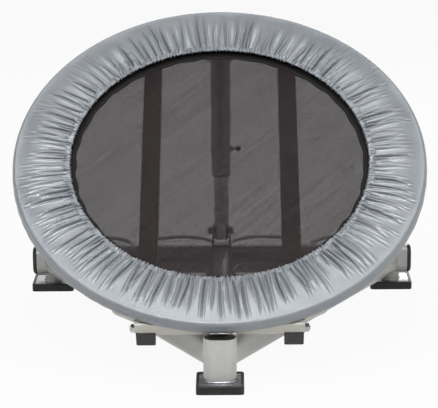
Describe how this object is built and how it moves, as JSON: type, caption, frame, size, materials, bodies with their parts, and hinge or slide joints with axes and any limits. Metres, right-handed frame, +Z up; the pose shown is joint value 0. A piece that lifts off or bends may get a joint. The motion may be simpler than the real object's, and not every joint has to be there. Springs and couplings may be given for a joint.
{
  "type": "medicine ball rebounder",
  "caption": "Tilting round sprung mat on a three-legged floor frame, with a telescopic strut that sets its angle and rings that store medicine balls.",
  "frame": {"origin": "on the floor, under the middle of the whole rebounder's box", "axes": "+X to the right as the player sees it, +Y away from the player towards the raised edge of the mat, +Z up"},
  "size_m": [1.012, 1.1254, 0.7484],
  "materials": {
    "frame_paint": "satin light grey powder coat",
    "rail_paint": "satin light grey powder coat",
    "zinc_steel": "bright zinc plate",
    "plate_steel": "satin steel plate",
    "black_cap": "matte moulded plastic",
    "foot_rubber": "matte moulded rubber",
    "pad_vinyl": "silver-grey coated vinyl over foam, soft sheen",
    "mat_mesh": "woven black polypropylene mesh",
    "hem_webbing": "sewn black webbing",
    "spring_steel": "galvanised wire",
    "guide_nylon": "matte nylon",
    "bronze_bush": "sintered bronze"
  },
  "bodies": {
    "base": {"base_post": "frame_paint", "post_cap": "black_cap", "rear_cross_tube": "frame_paint", "cross_tube_cap_left": "black_cap", "cross_tube_cap_right": "black_cap", "centre_beam": "frame_paint", "side_tube_left": "frame_paint", "side_tube_right": "frame_paint", "leg_stub_left": "frame_paint", "leg_stub_right": "frame_paint", "ball_ring_rear_1": "frame_paint", "ball_ring_rear_2": "frame_paint", "ball_ring_rear_3": "frame_paint", "ball_ring_rear_4": "frame_paint", "ball_ring_front_left": "frame_paint", "ball_ring_front_right": "frame_paint", "hinge_lugs": "frame_paint", "lug_bushes": "bronze_bush", "lower_clevis": "frame_paint", "lower_clevis_bolt": "zinc_steel", "lower_clevis_nut": "zinc_steel", "rubber_foot_front": "foot_rubber", "rubber_foot_left": "foot_rubber", "rubber_foot_right": "foot_rubber", "foot_plate_front": "plate_steel", "foot_plate_left": "plate_steel", "foot_plate_right": "plate_steel"},
    "deck": {"edge_pad": "pad_vinyl", "ring_tube": "spring_steel", "jump_mat": "mat_mesh", "mat_hem": "hem_webbing", "mat_v_rings": "spring_steel", "springs": "spring_steel", "rail_left": "rail_paint", "rail_right": "rail_paint", "rail_end_caps": "black_cap", "front_crossbar": "rail_paint", "rear_crossbar": "rail_paint", "ring_saddles": "rail_paint", "saddle_liners": "foot_rubber", "ring_bolts": "zinc_steel", "hinge_axle": "zinc_steel", "axle_washers": "zinc_steel", "axle_nuts": "zinc_steel", "axle_spacers": "zinc_steel", "upper_bracket": "rail_paint"},
    "strut_inner": {"strut_inner_tube": "zinc_steel", "strut_eye_bush": "bronze_bush", "upper_guide_bush": "guide_nylon"},
    "strut_outer": {"strut_outer_tube": "frame_paint", "lower_guide_bush": "guide_nylon", "strut_top_plug": "black_cap", "upper_pivot_bolt": "zinc_steel", "upper_pivot_nut": "zinc_steel", "upper_pivot_washers": "zinc_steel", "pin_boss": "zinc_steel", "guide_screw": "zinc_steel"},
    "lock_pin": {"pin_plunger": "zinc_steel", "pin_knob": "black_cap"}
  },
  "joints": [
    {"name": "deck_tilt", "type": "hinge", "parent": "base", "child": "deck", "pos_m": [0, -0.4447, 0.122], "axis": [1, 0, 0], "range_deg": [-6.69, 6.69]},
    {"name": "strut_swing", "type": "hinge", "parent": "base", "child": "strut_inner", "pos_m": [0, 0.3273, 0.1506], "axis": [1, 0, 0], "range_deg": [-6.6, 6.6]},
    {"name": "strut_slide", "type": "slide", "parent": "strut_inner", "child": "strut_outer", "axis": [0, -0.063, 0.998], "range_m": [-0.0905, 0.0905]},
    {"name": "pin_pull", "type": "slide", "parent": "strut_outer", "child": "lock_pin", "axis": [1, 0, 0], "range_m": [-0.008, 0]}
  ],
  "couplings": [
    {"joint": "strut_swing", "follows": "deck_tilt", "ratio": 0.9581},
    {"joint": "strut_slide", "follows": "deck_tilt", "m_per_rad": 0.7707}
  ]
}
